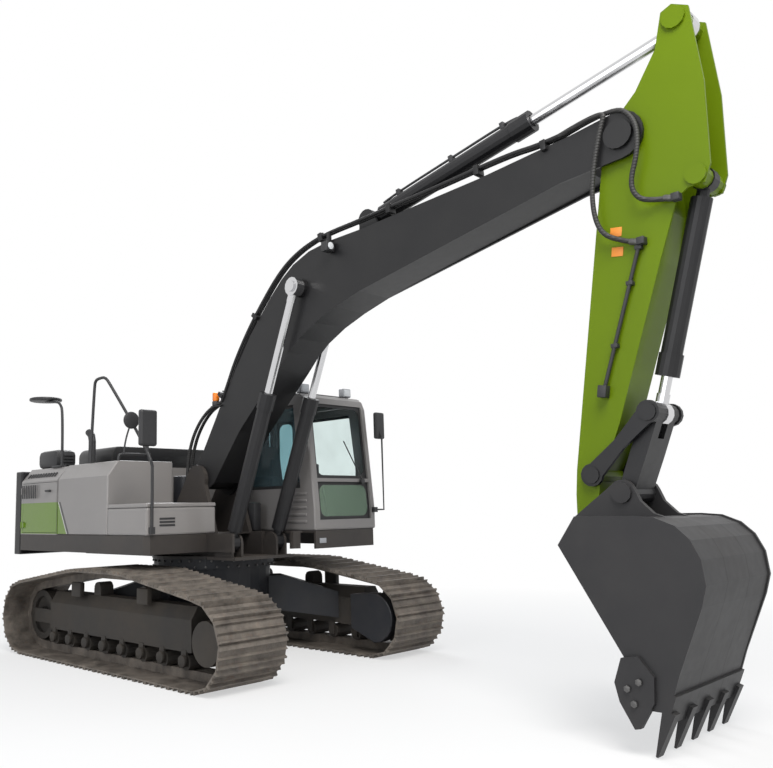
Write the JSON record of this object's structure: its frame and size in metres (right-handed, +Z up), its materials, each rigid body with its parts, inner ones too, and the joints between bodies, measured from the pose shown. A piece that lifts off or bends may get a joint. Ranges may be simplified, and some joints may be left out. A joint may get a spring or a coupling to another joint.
{
  "type": "crawler excavator",
  "caption": "Crawler excavator with a full slewing upper structure, side cab, gooseneck boom, arm and backhoe bucket on hydraulic cylinders, parked with the bucket just off the ground.",
  "frame": {"origin": "on the ground, midway along and across the machine as parked", "axes": "+X forward to the bucket, +Y to the machine's left, +Z up"},
  "size_m": [8.8922, 3.18, 5.2021],
  "materials": {
    "black": "satin",
    "charcoal": "satin",
    "chrome": "polished",
    "frame_blue_black": "satin",
    "lime": "gloss",
    "seat_cloth": "matt",
    "skirt_brown": "satin",
    "tinted_glass": "clear",
    "track_steel": "worn",
    "warm_grey": "gloss"
  },
  "bodies": {
    "undercarriage": {"car_body": "frame_blue_black", "idler_left": "skirt_brown", "idler_right": "skirt_brown", "motor_guard_left": "frame_blue_black", "motor_guard_right": "frame_blue_black", "sprocket_left": "skirt_brown", "sprocket_right": "skirt_brown", "swing_ring": "frame_blue_black", "track_frame_left": "skirt_brown", "track_frame_right": "skirt_brown", "track_left": "track_steel", "track_right": "track_steel"},
    "upper": {"cab_mirror": "black", "cab_shell": "warm_grey", "counterweight": "charcoal", "engine": "charcoal", "engine_house": "warm_grey", "exhaust": "black", "handrail": "black", "quarter_window": "tinted_glass", "rear_window": "tinted_glass", "revolving_frame": "skirt_brown", "right_mirror": "black", "right_window": "tinted_glass", "seat": "seat_cloth", "tank_box": "warm_grey", "toolbox": "warm_grey", "windscreen_lower": "tinted_glass", "windscreen_upper": "tinted_glass"},
    "right_door": {"right_door": "warm_grey"},
    "left_door": {"left_door": "warm_grey"},
    "toolbox_lid": {"toolbox_lid": "warm_grey"},
    "hood": {"hood": "charcoal"},
    "cab_door": {"cab_door": "warm_grey", "door_window": "tinted_glass"},
    "boom": {"boom": "charcoal"},
    "arm": {"arm": "lime"},
    "boom_cylinder_right": {"boom_cylinder_right_barrel": "charcoal"},
    "boom_cylinder_right_rod": {"boom_cylinder_right_rod": "chrome"},
    "boom_cylinder_left": {"boom_cylinder_left_barrel": "charcoal"},
    "boom_cylinder_left_rod": {"boom_cylinder_left_rod": "chrome"},
    "arm_cylinder": {"arm_cylinder_barrel": "charcoal"},
    "arm_cylinder_rod": {"arm_cylinder_rod": "chrome"},
    "bucket_cylinder": {"bucket_cylinder_barrel": "charcoal"},
    "bucket_cylinder_rod": {"bucket_cylinder_rod": "chrome"},
    "levers": {"lever_left": "charcoal", "lever_right": "charcoal"},
    "bucket": {"bucket": "charcoal"},
    "link": {"link": "charcoal"}
  },
  "joints": [
    {"name": "swing", "type": "hinge", "parent": "undercarriage", "child": "upper", "pos_m": [-1.59612, 0, 1.1003], "axis": [0, 0, 1], "continuous": true},
    {"name": "boom_lift", "type": "hinge", "parent": "upper", "child": "boom", "pos_m": [-1.36012, -0.166, 1.975], "axis": [0, -1, 0], "range_deg": [-53, 26]},
    {"name": "arm_swing", "type": "hinge", "parent": "boom", "child": "arm", "pos_m": [3.82872, -0.166, 4.33422], "axis": [0, 1, 0], "range_deg": [-88, 27]},
    {"name": "bucket_curl", "type": "hinge", "parent": "arm", "child": "bucket", "pos_m": [3.37999, -0.166, 1.44891], "axis": [0, 1, 0], "range_deg": [-12, 160]},
    {"name": "boom_cylinder_right_pivot", "type": "hinge", "parent": "upper", "child": "boom_cylinder_right", "pos_m": [-0.67012, -0.479, 1.28], "axis": [0, -1, 0], "range_deg": [-50.2, 24.9]},
    {"name": "boom_cylinder_right_stroke", "type": "slide", "parent": "boom_cylinder_right", "child": "boom_cylinder_right_rod", "axis": [0.3758, 0, 0.9267], "range_m": [-0.82, 0.405]},
    {"name": "boom_cylinder_left_pivot", "type": "hinge", "parent": "upper", "child": "boom_cylinder_left", "pos_m": [-0.67012, 0.147, 1.28], "axis": [0, -1, 0], "range_deg": [-50.2, 24.9]},
    {"name": "boom_cylinder_left_stroke", "type": "slide", "parent": "boom_cylinder_left", "child": "boom_cylinder_left_rod", "axis": [0.3758, 0, 0.9267], "range_m": [-0.82, 0.405]},
    {"name": "arm_cylinder_pivot", "type": "hinge", "parent": "boom", "child": "arm_cylinder", "pos_m": [1.18327, -0.166, 4.42655], "axis": [0, 1, 0], "range_deg": [-6, 2.2]},
    {"name": "arm_cylinder_stroke", "type": "slide", "parent": "arm_cylinder", "child": "arm_cylinder_rod", "axis": [0.9777, 0, 0.2101], "range_m": [-1.091, 0.338]},
    {"name": "bucket_cylinder_pivot", "type": "hinge", "parent": "arm", "child": "bucket_cylinder", "pos_m": [4.33951, -0.166, 3.88337], "axis": [0, 1, 0], "range_deg": [-6.9, 1]},
    {"name": "bucket_cylinder_stroke", "type": "slide", "parent": "bucket_cylinder", "child": "bucket_cylinder_rod", "axis": [-0.2682, 0, -0.9634], "range_m": [-0.074, 0.92]},
    {"name": "lever_pivot", "type": "hinge", "parent": "arm", "child": "levers", "pos_m": [3.43231, -0.166, 1.82433], "axis": [0, 1, 0], "range_deg": [-8.3, 103.9]},
    {"name": "link_pivot", "type": "hinge", "parent": "bucket", "child": "link", "pos_m": [3.65986, -0.166, 1.68673], "axis": [0, 1, 0], "range_deg": [-115.3, 9.2]},
    {"name": "cab_door_hinge", "type": "hinge", "parent": "upper", "child": "cab_door", "pos_m": [-1.52412, 1.377, 2.1], "axis": [0, 0, 1], "range_deg": [0, 150]},
    {"name": "right_door_hinge", "type": "hinge", "parent": "upper", "child": "right_door", "pos_m": [-3.75312, -1.377, 1.7], "axis": [0, 0, -1], "range_deg": [0, 110]},
    {"name": "left_door_hinge", "type": "hinge", "parent": "upper", "child": "left_door", "pos_m": [-3.75312, 1.377, 1.7], "axis": [0, 0, 1], "range_deg": [0, 110]},
    {"name": "toolbox_lid_hinge", "type": "hinge", "parent": "upper", "child": "toolbox_lid", "pos_m": [-1.71212, -0.9, 1.71033], "axis": [0, -1, 0], "range_deg": [0, 80]},
    {"name": "hood_hinge", "type": "hinge", "parent": "upper", "child": "hood", "pos_m": [-3.71612, 0.1, 2.204], "axis": [0, -1, 0], "range_deg": [0, 60]}
  ],
  "couplings": [
    {"joint": "boom_cylinder_right_pivot", "follows": "boom_lift", "ratio": 0.9375},
    {"joint": "boom_cylinder_right_stroke", "follows": "boom_lift", "m_per_rad": 0.8809},
    {"joint": "boom_cylinder_left_pivot", "follows": "boom_lift", "ratio": 0.9375},
    {"joint": "boom_cylinder_left_stroke", "follows": "boom_lift", "m_per_rad": 0.8809},
    {"joint": "arm_cylinder_pivot", "follows": "arm_swing", "ratio": 0.0625},
    {"joint": "arm_cylinder_stroke", "follows": "arm_swing", "m_per_rad": 0.7065},
    {"joint": "bucket_cylinder_pivot", "follows": "bucket_curl", "ratio": -0.04},
    {"joint": "bucket_cylinder_stroke", "follows": "bucket_curl", "m_per_rad": 0.3274},
    {"joint": "lever_pivot", "follows": "bucket_curl", "ratio": 0.646},
    {"joint": "link_pivot", "follows": "bucket_curl", "ratio": -0.717}
  ]
}
